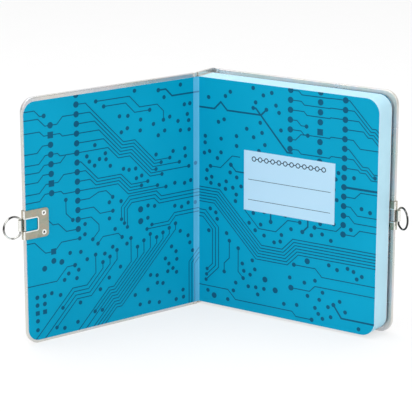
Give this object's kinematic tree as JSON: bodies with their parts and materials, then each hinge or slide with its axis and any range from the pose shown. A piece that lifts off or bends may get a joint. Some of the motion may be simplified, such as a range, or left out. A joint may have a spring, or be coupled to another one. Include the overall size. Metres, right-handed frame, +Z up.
{
  "type": "hardback lock diary",
  "caption": "Square-back hardback diary with rounded corners, foil covers, printed endpapers, turning sections and a riveted clip with a swinging lock ring on each fore-edge.",
  "frame": {"origin": "centre of the standing open book's footprint box, on the surface it stands on", "axes": "+Z up along the gutter; the book stands open as a V with its spine towards +Y and its fore-edges towards -Y; +X from the front cover to the back cover"},
  "size_m": [0.2528, 0.1041, 0.1587],
  "materials": {
    "cover_foil": "metallised paper, satin with a faint rainbow sheen",
    "greyboard": "matte",
    "endpaper": "smooth printed paper",
    "page_paper": "uncoated pale blue paper",
    "plate_paper": "smooth printed paper",
    "lining": "gauze under paper",
    "nickel": "nickel plated",
    "rivet_nickel": "nickel plated",
    "ring_nickel": "nickel plated wire"
  },
  "bodies": {
    "spine": {"spine_board": "greyboard", "spine_foil": "cover_foil", "spine_lining": "lining", "front_foil_joint": "cover_foil", "front_endpaper_joint": "endpaper", "back_foil_joint": "cover_foil", "back_endpaper_joint": "endpaper"},
    "front_cover": {"front_board": "greyboard", "front_cover_foil": "cover_foil", "front_pastedown": "endpaper", "front_clip": "nickel", "front_clip_rivets": "rivet_nickel"},
    "front_ring": {"front_ring": "ring_nickel"},
    "back_cover": {"back_board": "greyboard", "back_cover_foil": "cover_foil", "back_pastedown": "endpaper", "back_clip": "nickel", "back_clip_rivets": "rivet_nickel"},
    "back_ring": {"back_ring": "ring_nickel"},
    "front_flyleaf": {"front_flyleaf": "endpaper", "name_plate": "plate_paper"},
    "back_flyleaf": {"back_flyleaf": "endpaper"},
    "section_01": {"section_01": "page_paper"},
    "section_02": {"section_02": "page_paper"},
    "section_03": {"section_03": "page_paper"},
    "section_04": {"section_04": "page_paper"},
    "section_05": {"section_05": "page_paper"},
    "section_06": {"section_06": "page_paper"},
    "section_07": {"section_07": "page_paper"},
    "section_08": {"section_08": "page_paper"},
    "section_09": {"section_09": "page_paper"},
    "section_10": {"section_10": "page_paper"},
    "section_11": {"section_11": "page_paper"},
    "section_12": {"section_12": "page_paper"},
    "section_13": {"section_13": "page_paper"}
  },
  "joints": [
    {"name": "front_cover_hinge", "type": "hinge", "parent": "spine", "child": "front_cover", "pos_m": [-0.00221, 0.0359, 0.079], "axis": [0, 0, -1], "range_deg": [-107.5, 72], "deforming": ["front_foil_joint", "front_endpaper_joint"]},
    {"name": "front_ring_hinge", "type": "hinge", "parent": "front_cover", "child": "front_ring", "pos_m": [-0.11607, -0.0442, 0.0786], "axis": [0, 0, 1], "range_deg": [-118, 105]},
    {"name": "back_cover_hinge", "type": "hinge", "parent": "spine", "child": "back_cover", "pos_m": [0.00719, 0.04885, 0.079], "axis": [0, 0, 1], "range_deg": [0, 179], "deforming": ["back_foil_joint", "back_endpaper_joint"]},
    {"name": "back_ring_hinge", "type": "hinge", "parent": "back_cover", "child": "back_ring", "pos_m": [0.12175, -0.03026, 0.0786], "axis": [0, 0, -1], "range_deg": [-153, 70]},
    {"name": "front_flyleaf_turn", "type": "hinge", "parent": "spine", "child": "front_flyleaf", "pos_m": [-0.00221, 0.0359, 0.079], "axis": [0, 0, -1], "range_deg": [0, 100]},
    {"name": "back_flyleaf_turn", "type": "hinge", "parent": "spine", "child": "back_flyleaf", "pos_m": [0.00719, 0.04885, 0.079], "axis": [0, 0, 1], "range_deg": [0, 90]},
    {"name": "section_01_turn", "type": "hinge", "parent": "spine", "child": "section_01", "pos_m": [-0.00221, 0.0359, 0.079], "axis": [0, 0, -1], "range_deg": [0, 92.87]},
    {"name": "section_02_turn", "type": "hinge", "parent": "spine", "child": "section_02", "pos_m": [-0.00221, 0.0359, 0.079], "axis": [0, 0, -1], "range_deg": [0, 85.72]},
    {"name": "section_03_turn", "type": "hinge", "parent": "spine", "child": "section_03", "pos_m": [-0.00221, 0.0359, 0.079], "axis": [0, 0, -1], "range_deg": [0, 78.58]},
    {"name": "section_04_turn", "type": "hinge", "parent": "spine", "child": "section_04", "pos_m": [-0.00221, 0.0359, 0.079], "axis": [0, 0, -1], "range_deg": [0, 71.44]},
    {"name": "section_05_turn", "type": "hinge", "parent": "spine", "child": "section_05", "pos_m": [-0.00221, 0.0359, 0.079], "axis": [0, 0, -1], "range_deg": [0, 64.3]},
    {"name": "section_06_turn", "type": "hinge", "parent": "spine", "child": "section_06", "pos_m": [-0.00221, 0.0359, 0.079], "axis": [0, 0, -1], "range_deg": [0, 57.15]},
    {"name": "section_07_turn", "type": "hinge", "parent": "spine", "child": "section_07", "pos_m": [-0.00221, 0.0359, 0.079], "axis": [0, 0, -1], "range_deg": [0, 50.01]},
    {"name": "section_08_turn", "type": "hinge", "parent": "spine", "child": "section_08", "pos_m": [-0.00221, 0.0359, 0.079], "axis": [0, 0, -1], "range_deg": [0, 42.87]},
    {"name": "section_09_turn", "type": "hinge", "parent": "spine", "child": "section_09", "pos_m": [-0.00221, 0.0359, 0.079], "axis": [0, 0, -1], "range_deg": [0, 35.72]},
    {"name": "section_10_turn", "type": "hinge", "parent": "spine", "child": "section_10", "pos_m": [-0.00221, 0.0359, 0.079], "axis": [0, 0, -1], "range_deg": [0, 28.58]},
    {"name": "section_11_turn", "type": "hinge", "parent": "spine", "child": "section_11", "pos_m": [-0.00221, 0.0359, 0.079], "axis": [0, 0, -1], "range_deg": [0, 21.44]},
    {"name": "section_12_turn", "type": "hinge", "parent": "spine", "child": "section_12", "pos_m": [-0.00221, 0.0359, 0.079], "axis": [0, 0, -1], "range_deg": [0, 14.3]},
    {"name": "section_13_turn", "type": "hinge", "parent": "spine", "child": "section_13", "pos_m": [-0.00221, 0.0359, 0.079], "axis": [0, 0, -1], "range_deg": [0, 7.15]}
  ],
  "couplings": [
    {"joint": "back_flyleaf_turn", "follows": "back_cover_hinge", "ratio": 0.5},
    {"joint": "section_01_turn", "follows": "front_flyleaf_turn", "ratio": 0.92857},
    {"joint": "section_02_turn", "follows": "front_flyleaf_turn", "ratio": 0.85714},
    {"joint": "section_03_turn", "follows": "front_flyleaf_turn", "ratio": 0.78571},
    {"joint": "section_04_turn", "follows": "front_flyleaf_turn", "ratio": 0.71429},
    {"joint": "section_05_turn", "follows": "front_flyleaf_turn", "ratio": 0.64286},
    {"joint": "section_06_turn", "follows": "front_flyleaf_turn", "ratio": 0.57143},
    {"joint": "section_07_turn", "follows": "front_flyleaf_turn", "ratio": 0.5},
    {"joint": "section_08_turn", "follows": "front_flyleaf_turn", "ratio": 0.42857},
    {"joint": "section_09_turn", "follows": "front_flyleaf_turn", "ratio": 0.35714},
    {"joint": "section_10_turn", "follows": "front_flyleaf_turn", "ratio": 0.28571},
    {"joint": "section_11_turn", "follows": "front_flyleaf_turn", "ratio": 0.21429},
    {"joint": "section_12_turn", "follows": "front_flyleaf_turn", "ratio": 0.14286},
    {"joint": "section_13_turn", "follows": "front_flyleaf_turn", "ratio": 0.07143}
  ]
}
